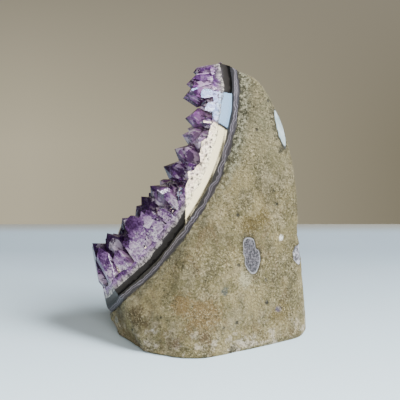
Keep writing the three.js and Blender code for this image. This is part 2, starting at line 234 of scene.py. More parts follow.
def sheet_reach(d, level):
    """Distance along d to the bowl-shaped sheet at a level: the nearer root of a square law."""
    start = HEART - SHEET_CENTRE
    s, t, w = start @ AXIS, start @ UPSLOPE, start @ ACROSS
    ds, dt, dw = d @ AXIS, d @ UPSLOPE, d @ ACROSS
    a = s + SHEET_OFFSET - BOWL_UP * t * t - BOWL_ACROSS * w * w - level
    b = ds - 2 * BOWL_UP * t * dt - 2 * BOWL_ACROSS * w * dw
    c = BOWL_UP * dt * dt + BOWL_ACROSS * dw * dw
    inside = b * b + 4 * c * a
    root = -2 * a / (b + np.sqrt(np.maximum(inside, 0)))
    return np.where((b > 0) & (inside >= 0), root, np.inf)


def sheet_point(t, w, level):
    s = level - SHEET_OFFSET + BOWL_UP * t**2 + BOWL_ACROSS * w**2
    return SHEET_CENTRE + s[..., None] * AXIS + t[..., None] * UPSLOPE + w[..., None] * ACROSS


def sheet_normal(t, w):
    return unit(AXIS - 2 * BOWL_UP * t[..., None] * UPSLOPE - 2 * BOWL_ACROSS * w[..., None] * ACROSS)


def wavering(level, height, size, shift):
    """A level that wanders up and down with the direction from the heart."""
    return lambda d: level + height * crags(50 * d + shift, size, 3)


CONTACT = wavering(0.0, 0.7, 5.0, 3)
AGATE_EDGE = wavering(AGATE_TOP, 0.4, 8.0, 40)
CHALCEDONY_EDGE = wavering(CHALCEDONY_TOP, 0.9, 6.0, 80)
QUARTZ_EDGE = wavering(QUARTZ_TOP, 1.6, 5.0, 120)


# ---- directions round the stone ------------------------------------------------------------------
EVEN_TURNS = np.linspace(0, 2 * np.pi, TURN_STEPS, endpoint=False)
TURNS = EVEN_TURNS - 0.34 * np.sin(2 * EVEN_TURNS)  # closer together at the toe and the peak


def about_axis(turn, polar):
    """Direction at a polar angle from the hollow's axis; turn 0 is the toe, half a turn the peak."""
    side = np.cos(turn)[..., None] * -UPSLOPE - np.sin(turn)[..., None] * ACROSS
    return np.cos(polar)[..., None] * AXIS + np.sin(polar)[..., None] * side


def about_plumb(turn, polar):
    return np.stack([-np.cos(turn) * np.sin(polar), -np.sin(turn) * np.sin(polar), -np.cos(polar)], -1)


def last_true(test, low, high):
    """Halves the angle between low and high until it stands where the test stops being true."""
    low, high = np.full(TURN_STEPS, low), np.full(TURN_STEPS, high)
    for _ in range(34):
        middle = (low + high) / 2
        good = test(middle)
        low, high = np.where(good, middle, low), np.where(good, high, middle)
    return low


def rim_polar(level):
    def buried(polar):
        d = about_axis(TURNS, polar)
        return sheet_reach(d, level(d)) < ground(d)

    return last_true(buried, 0.0, 0.75 * np.pi)


# ---- meshes --------------------------------------------------------------------------------------
def make_object(name, points, quads, triangles, material, smooth=True):
    """Puts whole arrays of corners and faces into a mesh, in metres."""
    mesh = bpy.data.meshes.new(name)
    corners = np.concatenate([quads.ravel(), triangles.ravel()]).astype(np.int32)
    starts = np.concatenate([np.arange(len(quads)) * 4, len(quads) * 4 + np.arange(len(triangles)) * 3])
    mesh.vertices.add(len(points))
    mesh.vertices.foreach_set("co", (points * MM).astype(np.float32).ravel())
    mesh.loops.add(len(corners))
    mesh.loops.foreach_set("vertex_index", corners)
    mesh.polygons.add(len(starts))
    mesh.polygons.foreach_set("loop_start", starts.astype(np.int32))
    mesh.update(calc_edges=True)
    mesh.validate()
    mesh.polygons.foreach_set("use_smooth", np.full(len(starts), smooth))
    piece = bpy.data.objects.new(name, mesh)
    bpy.context.scene.collection.objects.link(piece)
    if material:
        mesh.materials.append(material)
    if smooth:
        mesh.set_sharp_from_angle(angle=np.radians(40))
    return piece


def skin(name, rings, first_pole, last_pole, material):
    """Closes a stack of rings, each with a point per turn, with a fan to a pole at either end."""
    count, turns = rings.shape[:2]
    points = np.concatenate([first_pole[None], rings.reshape(-1, 3), last_pole[None]])
    low = 1 + np.arange(count - 1)[:, None] * turns + np.arange(turns)
    low_next = 1 + np.arange(count - 1)[:, None] * turns + (np.arange(turns) + 1) % turns
    quads = np.stack([low, low + turns, low_next + turns, low_next], -1).reshape(-1, 4)
    first = 1 + np.arange(turns)
    first_next = 1 + (np.arange(turns) + 1) % turns
    end = (count - 1) * turns
    last = np.full(turns, len(points) - 1)
    fans = np.concatenate([
        np.stack([np.zeros(turns, int), first, first_next], -1),
        np.stack([last, end + first_next, end + first], -1),
    ])
    return make_object(name, points, quads, fans, material)


def shares(steps):
    return (np.arange(1, steps + 1) / steps)[:, None]


def sheet_rings(level, polar, lift=0.0):
    d = about_axis(TURNS + 0 * shares(SHEET_STEPS), shares(SHEET_STEPS) * polar)
    return at(d, sheet_reach(d, level(d) + lift))


def pole(level, lift=0.0):
    return at(AXIS[None], sheet_reach(AXIS[None], level(AXIS[None]) + lift))[0]


def layer(name, low, high, material):
    """A layer of the wall: a sheet below, a sheet above, and the polished strip between their rims."""
    low_polar, high_polar = rim_polar(low), rim_polar(high)
    between = high_polar + shares(STRIP_STEPS)[:-1] * (low_polar - high_polar)
    d = about_axis(TURNS + 0 * between, between)
    bottom = sheet_rings(low, low_polar, SEAM)[::-1]
    rings = np.concatenate([sheet_rings(high, high_polar), at(d, ground(d)), bottom])
    return skin(name, rings, pole(high), pole(low, SEAM), material)


# Single marks in the rock: small amygdales, a vug beside the large filling painted dark as the shade inside
# it, pale and brown patches, and dark patches of painted shade on the shaded lower left of the foot.
ROCK_MARKS = [  # place, radius, colour
    ((20.5, -14.8, 48.2), 3.6, (0.12, 0.085, 0.025)),
    ((24.5, -12.5, 51.0), 2.8, (0.13, 0.095, 0.03)),
    ((2.0, -27.5, 16.0), 6.0, (0.19, 0.125, 0.05)),
    ((-6.0, -27.0, 20.0), 4.0, (0.20, 0.13, 0.05)),
    ((-24.0, -21.5, 13.0), 4.0, (0.10, 0.07, 0.03)),
    ((33.0, -13.5, 12.0), 4.0, (0.16, 0.12, 0.045)),
    ((18.2, -19.3, 28.1), 3.0, (0.40, 0.36, 0.22)),
    ((28.2, -1.5, 94.4), 1.5, (0.05, 0.048, 0.028)),
    ((28.6, -3.6, 91.3), 1.6, (0.05, 0.048, 0.028)),
    ((29.2, -4.5, 88.0), 1.4, (0.05, 0.048, 0.028)),
    ((29.9, -5.0, 84.8), 1.6, (0.05, 0.048, 0.028)),
    ((31.0, -5.2, 81.3), 1.4, (0.05, 0.048, 0.028)),
    ((32.6, -4.6, 76.8), 1.7, (0.06, 0.055, 0.035)),
    ((13.6, -25.8, 0.8), 1.6, (0.04, 0.034, 0.02)),
    # Painted shade: this patch and the next darken the shaded lower left of the foot.
    ((-33.0, -10.0, 12.0), 3.5, (0.06, 0.045, 0.03)),
    ((-27.0, -22.0, 3.0), 3.5, (0.09, 0.065, 0.035)),
    ((-10.0, -31.0, 6.0), 3.0, (0.12, 0.08, 0.04)),
    ((3.0, -31.0, 8.0), 2.5, (0.12, 0.08, 0.04)),
    ((-34.8, -3.0, 8.0), 1.5, (0.03, 0.03, 0.026)),
    ((-32.8, -6.0, 6.2), 1.5, (0.30, 0.30, 0.27)),
    # The vug: a painted dark spot standing in for the shade inside a hole that is not modelled.
    ((23.5, -14.8, 38.1), 1.5, (0.07, 0.055, 0.03)),
    ((32.5, -8.7, 41.5), 1.0, (0.95, 0.94, 0.90)),
    ((-17.5, -24.5, 9.1), 0.8, (0.95, 0.94, 0.90)),
    ((10.4, -24.0, 24.4), 1.4, (0.09, 0.10, 0.085)),
    ((31.5, -13.4, 13.8), 1.2, (0.12, 0.10, 0.15)),
    ((26.6, -14.5, 26.1), 0.7, (0.03, 0.03, 0.03)),
    ((26.9, -15.7, 17.5), 0.7, (0.03, 0.03, 0.03)),
    ((10.0, -26.5, 10.6), 0.8, (0.04, 0.035, 0.03)),
    ((-14.0, -25.4, 14.8), 0.7, (0.03, 0.025, 0.02)),
]
CHIP = np.array([13.6, -26.0, 0.0])  # a chip in the edge of the base


# ---- material building ---------------------------------------------------------------------------
class Shader:
    """A material's nodes, with short calls that add a node and give back its output."""

    def __init__(self, name, **values):
        self.material = bpy.data.materials.new(name)
        self.material.use_nodes = True
        self.nodes, self.links = self.material.node_tree.nodes, self.material.node_tree.links
        self.surface = self.nodes["Principled BSDF"]
        self.set(**values)
        coordinates = self.nodes.new("ShaderNodeTexCoord").outputs["Object"]
        self.place = self.vector("SCALE", coordinates, scale=1 / MM)  # in millimetres

    def fill(self, socket, value):
        if isinstance(value, bpy.types.NodeSocket):
            self.links.new(value, socket)
        elif value is not None:
            socket.default_value = (*value, 1) if socket.type == "RGBA" and len(value) == 3 else value

    def set(self, **values):
        for name, value in values.items():
            self.fill(self.surface.inputs[name.replace("_", " ")], value)

    def math(self, operation, a, b=None, c=None, clamp=False):
        node = self.nodes.new("ShaderNodeMath")
        node.operation, node.use_clamp = operation, clamp
        for socket, value in zip(node.inputs, (a, b, c)):
            self.fill(socket, value)
        return node.outputs[0]

    def vector(self, operation, a, b=None, scale=None):
        node = self.nodes.new("ShaderNodeVectorMath")
        node.operation = operation
        self.fill(node.inputs[0], a)
        self.fill(node.inputs[1], b)
        if scale is not None:
            self.fill(node.inputs["Scale"], scale)
        return node.outputs["Value" if operation in ("DOT_PRODUCT", "LENGTH") else "Vector"]

    def noise(self, size, detail=4.0, roughness=0.55, place=None, distortion=0.0):
        """Noise with lumps of about this size in millimetres."""
        node = self.nodes.new("ShaderNodeTexNoise")
        self.fill(node.inputs["Vector"], place or self.place)
        settings = {"Scale": 1 / size, "Detail": detail, "Roughness": roughness, "Distortion": distortion}
        for name, value in settings.items():
            node.inputs[name].default_value = value
        return node.outputs["Fac"]

    def axis_part(self, index):
        node = self.nodes.new("ShaderNodeSeparateXYZ")
        self.fill(node.inputs[0], self.place)
        return node.outputs[index]

    def attribute(self, name):
        node = self.nodes.new("ShaderNodeAttribute")
        node.attribute_name = name
        return node.outputs["Fac"]

    def colour_noise(self, size):
        """Three different noises at once, as a vector round nought."""
        node = self.nodes.new("ShaderNodeTexNoise")
        self.fill(node.inputs["Vector"], self.place)
        node.inputs["Scale"].default_value = 1 / size
        return self.vector("SUBTRACT", node.outputs["Color"], (0.5, 0.5, 0.5))

    def cells(self, size, output="Distance", feature="F1", place=None):
        node = self.nodes.new("ShaderNodeTexVoronoi")
        node.feature = feature
        self.fill(node.inputs["Vector"], place or self.place)
        node.inputs["Scale"].default_value = 1 / size
        return node.outputs[output]

    def ramp(self, value, low, high, to_low=0.0, to_high=1.0, smooth=True):
        """Maps a value from one range to another and stops at the ends."""
        node = self.nodes.new("ShaderNodeMapRange")
        node.interpolation_type = "SMOOTHSTEP" if smooth else "LINEAR"
        self.fill(node.inputs["Value"], value)
        for name, number in (("From Min", low), ("From Max", high), ("To Min", to_low), ("To Max", to_high)):
            node.inputs[name].default_value = number
        return node.outputs[0]

    def mix(self, share, a, b, blend="MIX"):
        node = self.nodes.new("ShaderNodeMix")
        node.data_type, node.blend_type = "RGBA", blend
        for socket, value in zip((node.inputs[0], node.inputs[6], node.inputs[7]), (share, a, b)):
            self.fill(socket, value)
        return node.outputs[2]

    def bands(self, value, stops):
        """Colours along a value from 0 to 1."""
        node = self.nodes.new("ShaderNodeValToRGB")
        self.fill(node.inputs[0], value)
        elements = node.color_ramp.elements
        for _ in range(len(stops) - 2):
            elements.new(0.5)
        for element, (position, colour) in zip(elements, sorted(stops)):
            element.position, element.color = position, (*colour, 1)
        return node.outputs[0]

    def bump(self, height, depth, strength=1.0, normal=None):
        """Bumps of a depth in millimetres for a height from 0 to 1."""
        node = self.nodes.new("ShaderNodeBump")
        node.inputs["Strength"].default_value = strength
        node.inputs["Distance"].default_value = depth * MM
        self.fill(node.inputs["Height"], height)
        self.fill(node.inputs["Normal"], normal)
        return node.outputs[0]

    def level(self):
        """The level in the geode's wall, from the contact with the rock towards the hollow."""
        q = self.vector("SUBTRACT", self.place, tuple(SHEET_CENTRE))
        s, t, w = (self.vector("DOT_PRODUCT", q, tuple(v)) for v in (AXIS, UPSLOPE, ACROSS))
        bowl = self.math("ADD", self.math("MULTIPLY", self.math("MULTIPLY", t, t), BOWL_UP),
                         self.math("MULTIPLY", self.math("MULTIPLY", w, w), BOWL_ACROSS))
        return self.math("SUBTRACT", self.math("ADD", s, SHEET_OFFSET), bowl)


def basalt_material():
    m = Shader("weathered_basalt", Roughness=0.9, Specular_IOR_Level=0.25)
    grain = m.noise(0.75, 4, 0.8)
    elsewhere = m.vector("ADD", m.place, (50, 0, 0))
    upright = m.vector("MULTIPLY", m.place, (1, 1, 0.45))
    colour = m.mix(m.ramp(m.noise(12, 4, 0.6), 0.40, 0.60), (0.158, 0.133, 0.060), (0.280, 0.226, 0.104))
    colour = m.mix(m.ramp(m.noise(8, 5, 0.65, upright), 0.48, 0.62, 0, 0.75), colour, (0.098, 0.083, 0.042))
    colour = m.mix(m.ramp(m.noise(7, 5, 0.7, elsewhere), 0.50, 0.64, 0, 0.6), colour, (0.34, 0.285, 0.165))
    colour = m.mix(m.ramp(m.axis_part(2), 58, 92, 0, 0.65), colour, (0.205, 0.196, 0.118))
    low = m.ramp(m.axis_part(2), 17, 1)
    stain = m.ramp(m.noise(7, 5, 0.7, upright, 0.8), 0.50, 0.66, 0, 0.85)
    stain = m.math("MULTIPLY", stain, m.ramp(m.axis_part(2), 70, 40, 0.25, 1))
    colour = m.mix(stain, colour, (0.150, 0.106, 0.050))
    chalk = m.math("MULTIPLY", m.ramp(m.noise(5.5, 5, 0.75, elsewhere), 0.50, 0.62), low)
    colour = m.mix(chalk, colour, (0.50, 0.43, 0.33))
    for place, radius, tint in ROCK_MARKS:
        off = m.math("DIVIDE", m.vector("LENGTH", m.vector("SUBTRACT", m.place, place)), radius)
        uneven = m.math("ADD", off, m.ramp(m.noise(2.2, 5, 0.7), 0.3, 0.7, -0.7, 0.7, False))
        colour = m.mix(m.ramp(uneven, 1.5, 0.6, 0, 0.9), colour, tint)
    near = m.math("ADD", m.attribute("near_filling"), m.math("MULTIPLY", m.noise(2.5, 4, 0.7), 1.2))
    colour = m.mix(m.ramp(near, 1.95, 1.6, 0, 0.8), colour, (0.05, 0.043, 0.022))
    patchy = m.ramp(m.noise(9, 4), 0.40, 0.60, 0.55, 1)
    light = m.math("MULTIPLY", m.ramp(grain, 0.49, 0.64, 0, 0.75), patchy)
    colour = m.mix(light, colour, (0.50, 0.43, 0.26))
    dark = m.math("MULTIPLY", m.ramp(m.noise(0.8, 3, 0.8, elsewhere), 0.49, 0.60, 0, 0.7), patchy)
    colour = m.mix(dark, colour, (0.03, 0.025, 0.011))
    spots = m.math("ADD", m.cells(8.5), m.ramp(m.noise(1.2, 2), 0.3, 0.7, 0, 0.06))
    pit = m.ramp(spots, 0.14, 0.08)
    colour = m.mix(m.math("MULTIPLY", pit, 0.8), colour, (0.05, 0.045, 0.035))
    crust = m.ramp(m.math("ADD", m.level(), m.math("MULTIPLY", m.noise(6, 4, 0.7), 8)), -2.5, 1.5)
    crust = m.math("MULTIPLY", crust, m.ramp(m.axis_part(2), 55, 80, 0.35, 1))
    mottle = m.mix(m.ramp(m.noise(1.3, 4, 0.8), 0.44, 0.58), (0.035, 0.036, 0.021), (0.36, 0.345, 0.235))
    colour = m.mix(m.math("MULTIPLY", crust, 0.85), colour, mottle)
    ragged = m.math("ADD", m.level(), m.math("MULTIPLY", m.noise(2.4, 5, 0.7), 6.0))
    colour = m.mix(m.ramp(ragged, 2.2, 3.2, 0, 0.95), colour, (0.035, 0.032, 0.024))
    m.set(Base_Color=colour)
    bumps = m.math("ADD", grain, m.math("MULTIPLY", m.noise(2.2, 4, 0.65), 1.6))
    m.set(Normal=m.bump(m.math("SUBTRACT", bumps, pit), 1.0))
    return m.material


def agate_material():
    m = Shader("banded_agate", Roughness=0.42, IOR=1.54, Specular_IOR_Level=0.35)
    broad_bend = m.math("MULTIPLY", m.noise(6, 2), 3.6)
    bend = m.math("ADD", broad_bend, m.math("MULTIPLY", m.noise(2.0, 4, 0.6), 1.4))
    position = m.ramp(m.math("ADD", m.level(), bend), 2.2, 6.6, smooth=False)
    colour = m.bands(position, [
        (0.00, (0.05, 0.042, 0.038)), (0.08, (0.008, 0.006, 0.007)), (0.18, (0.022, 0.018, 0.022)),
        (0.30, (0.035, 0.028, 0.034)), (0.345, (0.21, 0.19, 0.225)), (0.38, (0.02, 0.015, 0.019)),
        (0.49, (0.04, 0.033, 0.04)), (0.535, (0.24, 0.22, 0.255)), (0.575, (0.025, 0.019, 0.023)),
        (0.63, (0.012, 0.010, 0.011)), (0.68, (0.002, 0.0015, 0.002)), (1.00, (0.002, 0.0015, 0.002)),
    ])
    colour = m.mix(m.ramp(m.noise(0.8, 3, 0.7), 0.3, 0.7, 0, 0.2), colour, (0.07, 0.06, 0.07))
    m.set(Base_Color=colour)
    return m.material


def chalcedony_material():
    m = Shader("grey_chalcedony", Roughness=0.13, IOR=1.54)
    level = m.math("ADD", m.level(), m.math("MULTIPLY", m.noise(2.5, 4), 3.0))
    colour = m.bands(m.ramp(level, 4.6, 10.0, smooth=False), [
        (0.0, (0.002, 0.002, 0.002)), (0.22, (0.003, 0.003, 0.003)), (0.34, (0.022, 0.019, 0.018)),
        (0.75, (0.038, 0.035, 0.033)), (1.0, (0.08, 0.07, 0.08)),
    ])
    m.set(Base_Color=colour)
    return m.material


def speckle(m, colour, size, share, dark):
    """Small dark grains between the crystals."""
    return m.mix(m.ramp(m.noise(size, 3, 0.75), share, share + 0.07, 0, 0.9), colour, dark)


def growth_place(m, stretch):
    """Places drawn out along the axis of the hollow, so that patterns look like crystals side on."""
    along = m.math("MULTIPLY", m.vector("DOT_PRODUCT", m.place, tuple(AXIS)), -(1 - 1 / stretch))
    return m.vector("ADD", m.place, m.vector("SCALE", tuple(AXIS), scale=along))


def grown_colour(m, size, level, low, high, shift):
    """Crystals side on: each with its own darkness, streaked along its growth, darker towards the tips."""
    wobble = m.vector("SCALE", m.colour_noise(1.8), scale=1.4)
    place = m.vector("ADD", growth_place(m, 2.6), wobble)
    kind = m.vector("DOT_PRODUCT", m.cells(size, "Color", place=place), (0.5, 0.3, 0.2))
    streak = m.math("MULTIPLY", m.noise(0.8, 4, 0.75, place), 1.1)
    value = m.math("ADD", m.math("MULTIPLY", kind, 0.8), streak)
    value = m.math("SUBTRACT", value, m.ramp(level, low, high, 0.0, 0.45, False))
    return m.bands(m.math("ADD", value, shift - 0.45), [
        (0.00, (0.02, 0.006, 0.03)), (0.22, (0.08, 0.028, 0.115)), (0.40, (0.24, 0.12, 0.30)),
        (0.55, (0.44, 0.29, 0.48)), (0.70, (0.72, 0.60, 0.71)), (0.90, (0.97, 0.92, 0.95)),
    ])


def quartz_material():
    m = Shader("milky_quartz", Roughness=0.16, IOR=1.54)
    level = m.math("ADD", m.level(), m.math("MULTIPLY", m.noise(2.5, 4, 0.6), 5.0))
    cloud = m.noise(1.4, 5, 0.75, growth_place(m, 2))
    colour = m.mix(m.ramp(cloud, 0.38, 0.62), (0.075, 0.06, 0.07), (0.62, 0.57, 0.52))
    colour = m.mix(m.ramp(level, 10.5, 14.0), colour, grown_colour(m, 2.0, level, 12, 26, -0.05))
    colour = speckle(m, colour, 0.9, 0.515, (0.03, 0.02, 0.03))
    m.set(Base_Color=colour, Roughness=m.ramp(m.noise(0.9, 3, 0.75), 0.53, 0.585, 0.15, 0.85))
    return m.material


def amethyst_material(name, tint, transmission):
    """Purple that deepens from the milky root to the tip, with milky veils inside, painted shadows, and
    patches of painted shade and painted reflection.
    """
    m = Shader(name, Roughness=0.06, IOR=1.544, Transmission_Weight=transmission)
    level = m.math("ADD", m.level(), m.math("MULTIPLY", m.noise(4, 3), 6.0))
    colour = m.bands(m.ramp(level, 13.0, 30.0, smooth=False), [
        (0.0, (0.97, 0.90, 0.95)), (0.25, (0.84, 0.64, 0.85)),
        (0.6, (0.48, 0.22, 0.54)), (1.0, (0.075, 0.016, 0.125)),
    ])
    flaws = growth_place(m, 3)
    broken = m.vector("ADD", growth_place(m, 1.6), m.vector("SCALE", m.colour_noise(2.5), scale=1.5))
    # Painted light: dark cells are painted shade of shaded sides, and pale cells are painted reflections
    # inside the crystals.
    lit_and_shaded_patch = m.vector("DOT_PRODUCT", m.cells(2.6, "Color", place=broken), (0.5, 0.3, 0.2))
    colour = m.mix(1.0, colour, tint, "MULTIPLY")
    colour = m.mix(m.ramp(lit_and_shaded_patch, 0.56, 0.38, 0, 0.8), colour, (0.035, 0.008, 0.065))
    colour = m.mix(m.ramp(lit_and_shaded_patch, 0.60, 0.72, 0, 0.65), colour, (0.95, 0.84, 0.94))
    # Painted shadows: dark purple patches drawn out along the growth.
    shadows = m.noise(2.6, 4, 0.7, m.vector("ADD", flaws, (40, 0, 0)))
    colour = m.mix(m.ramp(shadows, 0.50, 0.58, 0, 0.85), colour, (0.035, 0.008, 0.06))
    veils = m.ramp(m.noise(1.5, 4, 0.75, flaws), 0.53, 0.61, 0, 0.9)
    veils = m.math("MULTIPLY", veils, m.ramp(level, 29, 20, 0.12, 1))
    colour = m.mix(veils, colour, (0.92, 0.80, 0.90))
    ridges = m.math("SINE", m.math("MULTIPLY", m.vector("DOT_PRODUCT", m.place, tuple(AXIS)), 7.0))
    bumps = m.math("ADD", m.noise(0.9, 2), m.math("MULTIPLY", ridges, 0.1))
    m.set(Base_Color=colour, Normal=m.bump(bumps, 0.12))
    add_absorption(m)
    return m.material


def cut_amethyst_material():
    """Crystals sawn through and polished: streaks from white to near-black purple."""
    m = Shader("cut_amethyst", Roughness=0.14, IOR=1.544, Transmission_Weight=0.25)
    level = m.math("ADD", m.level(), m.math("MULTIPLY", m.noise(3, 3), 5.0))
    level = m.math("ADD", level, m.ramp(m.axis_part(2), 86, 97, 0, 6))
    colour = grown_colour(m, 2.6, level, 15.5, 30.0, 0.06)
    streaks = m.ramp(m.noise(1.3, 4, 0.8, growth_place(m, 3.5)), 0.54, 0.60, 0, 0.85)
    colour = m.mix(m.math("MULTIPLY", streaks, m.ramp(level, 27, 18)), colour, (0.95, 0.88, 0.93))
    lace = m.ramp(m.noise(0.9, 3, 0.75), 0.51, 0.57, 0, 0.9)
    colour = m.mix(m.math("MULTIPLY", lace, m.ramp(level, 21, 14)), colour, (0.03, 0.018, 0.03))
    m.set(Base_Color=colour, Normal=m.bump(m.noise(1.2, 3, 0.6), 0.05))
    add_absorption(m)
    return m.material


def add_absorption(m):
    absorption = m.nodes.new("ShaderNodeVolumeAbsorption")
    absorption.inputs["Color"].default_value = (0.46, 0.10, 0.66, 1)
    absorption.inputs["Density"].default_value = 65
    m.links.new(absorption.outputs[0], m.nodes["Material Output"].inputs["Volume"])


def agate_nodule_material():
    m = Shader("agate_filling", Roughness=0.4, IOR=1.54)
    colour = m.mix(m.ramp(m.noise(0.8, 4, 0.75), 0.42, 0.66), (0.022, 0.02, 0.023), (0.19, 0.175, 0.19))
    edge = m.math("ADD", m.attribute("share"), m.math("MULTIPLY", m.noise(1.6, 3), 0.16))
    colour = m.mix(m.ramp(edge, 0.96, 1.0), colour, (0.27, 0.26, 0.26))
    # Painted shadow: a dark outline at the very edge of the filling, where it meets the rock; the light rim
    # inside it is the filling's own.
    colour = m.mix(m.ramp(edge, 1.045, 1.07), colour, (0.05, 0.045, 0.05))
    m.set(Base_Color=colour, Normal=m.bump(m.noise(0.9, 4), 0.15))
    return m.material


def quartz_nodule_material():
    m = Shader("quartz_filling", Roughness=0.3, IOR=1.54)
    colour = m.mix(m.ramp(m.noise(1.4, 4, 0.75), 0.42, 0.60), (0.05, 0.045, 0.05), (0.42, 0.40, 0.42))
    m.set(Base_Color=colour, Normal=m.bump(m.noise(0.9, 4), 0.35))
    return m.material


def chalcedony_nodule_material():
    m = Shader("chalcedony_filling", Roughness=0.15, IOR=1.54)
    colour = m.mix(m.ramp(m.noise(3, 3), 0.3, 0.7), (0.27, 0.36, 0.37), (0.46, 0.53, 0.54))
    edge = m.math("ADD", m.attribute("share"), m.math("MULTIPLY", m.noise(1.6, 3), 0.16))
    colour = m.mix(m.ramp(edge, 0.95, 1.02), colour, (0.07, 0.07, 0.06))
    m.set(Base_Color=colour)
    return m.material


# ---- the rock and its fillings -------------------------------------------------------------------
FILLING_TURNS = 120
FILLING_RINGS = 14
FILLING_DEPTH = 2.2
FILLING_SUNK = 0.12  # the face of a filling lies this far under the rock's broad lumps


class Filling:
    """An almond of agate or quartz that fills a gas bubble and shows in the face of the rock."""

    def __init__(self, name, middle, facing, half, lean, squareness, notch, material):
        self.name, self.middle, self.material = name, np.array(middle, float), material
        self.half, self.squareness, self.notch = half, squareness, notch
        yaw, tilt, roll = np.radians([*facing, lean])
        right = np.array([np.cos(yaw), np.sin(yaw), 0])
        self.outward = np.array([np.sin(yaw) * np.cos(tilt), -np.cos(yaw) * np.cos(tilt), np.sin(tilt)])
        up = np.cross(self.outward, right)
        self.right = np.cos(roll) * right - np.sin(roll) * up
        self.up = np.sin(roll) * right + np.cos(roll) * up

    def outline(self, angle):
        """Radius round the middle: a squarish ellipse, less a notch at one angle."""
        c, s_ = np.abs(np.cos(angle)) / self.half[0], np.abs(np.sin(angle)) / self.half[1]
        radius = (c**self.squareness + s_**self.squareness) ** (-1 / self.squareness)
        where, width, depth = self.notch
        off = (np.degrees(angle) - where + 180) % 360 - 180
        uneven = 0.05 * np.sin(3 * angle + 1) + 0.04 * np.sin(7 * angle)
        return radius * (1 + uneven - depth * np.exp(-((off / width) ** 2)))

    def share(self, p):
        """How far out a point lies, as a share of the outline's radius; large on the far side."""
        d = p - HEART
        ahead = d @ self.outward
        scale = (self.middle - HEART) @ self.outward / np.where(ahead > 1, ahead, np.inf)
        q = d * scale[..., None] + HEART - self.middle
        u, v = q @ self.right, q @ self.up
        value = np.hypot(u, v) / self.outline(np.arctan2(v, u))
        return np.where(np.linalg.norm(p - self.middle, axis=-1) < 3 * max(self.half), value, 9.0)

    def build(self):
        """Rings from the middle of the front out to the outline, then behind it back to the middle."""
        steps, depth = FILLING_RINGS, FILLING_DEPTH
        angle = np.linspace(0, 2 * np.pi, FILLING_TURNS, endpoint=False)
        out = np.concatenate([np.arange(1, steps + 1), np.arange(steps, 0, -1) - 0.5]) / steps
        radius = out[:, None] * self.outline(angle)
        spoke = np.cos(angle)[:, None] * self.right + np.sin(angle)[:, None] * self.up
        spots = self.middle + radius[..., None] * spoke
        d = unit(spots - HEART)
        behind = np.where(np.arange(2 * steps) < steps, 0, depth * np.sqrt(1 - (out - 0.04) ** 2))[:, None]
        reach = face_reach(d) - FILLING_SUNK - behind
        middle = unit(self.middle - HEART)[None]
        poles = [at(middle, face_reach(middle) - FILLING_SUNK - back)[0] for back in (0, depth)]
        piece = skin(self.name, at(d, reach), *poles, self.material)
        out = np.concatenate([[0], out.repeat(FILLING_TURNS), [0]]).astype(np.float32)
        piece.data.attributes.new("share", "FLOAT", "POINT").data.foreach_set("value", out)
        return piece


def face_reach(d):
    """The ground with its broad lumps but without crags."""
    reach = ground(d)
    return reach + ROCK_LUMPS * lumps(at(d, reach))


FILLINGS = [
    Filling(
        "agate_filling", middle=(20.8, -16.4, 37.2), facing=(32, 9), half=(3.9, 7.4), lean=-3,
        squareness=2.6, notch=(40, 32, 0.34), material=agate_nodule_material(),
    ),
    Filling(
        "quartz_filling", middle=(39.2, -3.4, 33.8), facing=(66, 4), half=(3.2, 3.8), lean=0,
        squareness=2.2, notch=(120, 40, 0.2), material=quartz_nodule_material(),
    ),
    Filling(
        "chalcedony_filling", middle=(31.8, -2.4, 86.0), facing=(62, 19), half=(2.5, 7.8), lean=-3,
        squareness=1.6, notch=(0, 30, 0), material=chalcedony_nodule_material(),
    ),
]


PIT_DEPTH = 0.35
POCKET_DEPTH = 1.0
CHIP_DEPTH = 2.2
BASE_RINGS = 12


def relief(p):
    """Height of the rock's broken skin: broad lumps, crags of every size, and pits here and there."""
    rough = 0.55 + 0.45 * noise(p + 91, 15)
    pits = smooth_step(noise(p + 31, 2.6), 0.45, 0.75)
    near = np.min([filling.share(p) for filling in FILLINGS], axis=0)
    pocket = smooth_step(near, 1.06, 0.96)
    calm = smooth_step(near, 1.0, 1.5)
    chip = smooth_step(np.linalg.norm(p - CHIP, axis=-1), 5.0, 1.0)
    broken = rough * crags(p, 7.0, 5) + 0.5 * noise(p + 70, 14) + 0.2 * crags(p + 5, 1.7, 2)
    broken = broken - PIT_DEPTH * pits
    return ROCK_LUMPS * lumps(p) + calm * broken - POCKET_DEPTH * pocket - CHIP_DEPTH * chip


def rock():
    polar = rim_polar(CONTACT)
    starts = about_axis(TURNS, polar)

    def on_base(angle):
        d = about_plumb(TURNS, angle)
        return floor_reach(d) < rock_reach(d)

    ends = about_plumb(TURNS, last_true(on_base, 0.0, 0.499 * np.pi))
    half_way = about_plumb(TURNS, (np.arccos(-starts[:, 2]) + np.arccos(-ends[:, 2])) / 2)
    share = shares(ROCK_STEPS)[..., None]
    d = unit((1 - share) ** 2 * starts + 2 * share * (1 - share) * half_way + share**2 * ends)
    reach = ground(d)
    fade = smooth_step(share[..., 0], 0, 0.04) * (1 - 0.7 * smooth_step(share[..., 0], 0.97, 1))
    reach = np.minimum(reach + fade * relief(at(d, reach)), floor_reach(d))
    outside = at(d, reach)
    outside[-1, :, 2] = 0
    under = np.array([HEART[0], HEART[1], 0])
    foot = outside[-1] - under
    outside[-1] = under + foot * (1 - SAWN_BEVEL / np.linalg.norm(foot, axis=-1)[:, None])
    base = under + (outside[-1] - under) * (1 - np.arange(1, BASE_RINGS) / BASE_RINGS)[:, None, None]
    rings = np.concatenate([sheet_rings(CONTACT, polar), outside, base])
    piece = skin("weathered_basalt", rings, pole(CONTACT), under, basalt_material())
    places = np.concatenate([pole(CONTACT)[None], rings.reshape(-1, 3), under[None]])
    near = np.min([filling.share(places) for filling in FILLINGS], axis=0).astype(np.float32)
    piece.data.attributes.new("near_filling", "FLOAT", "POINT").data.foreach_set("value", near)
    return piece


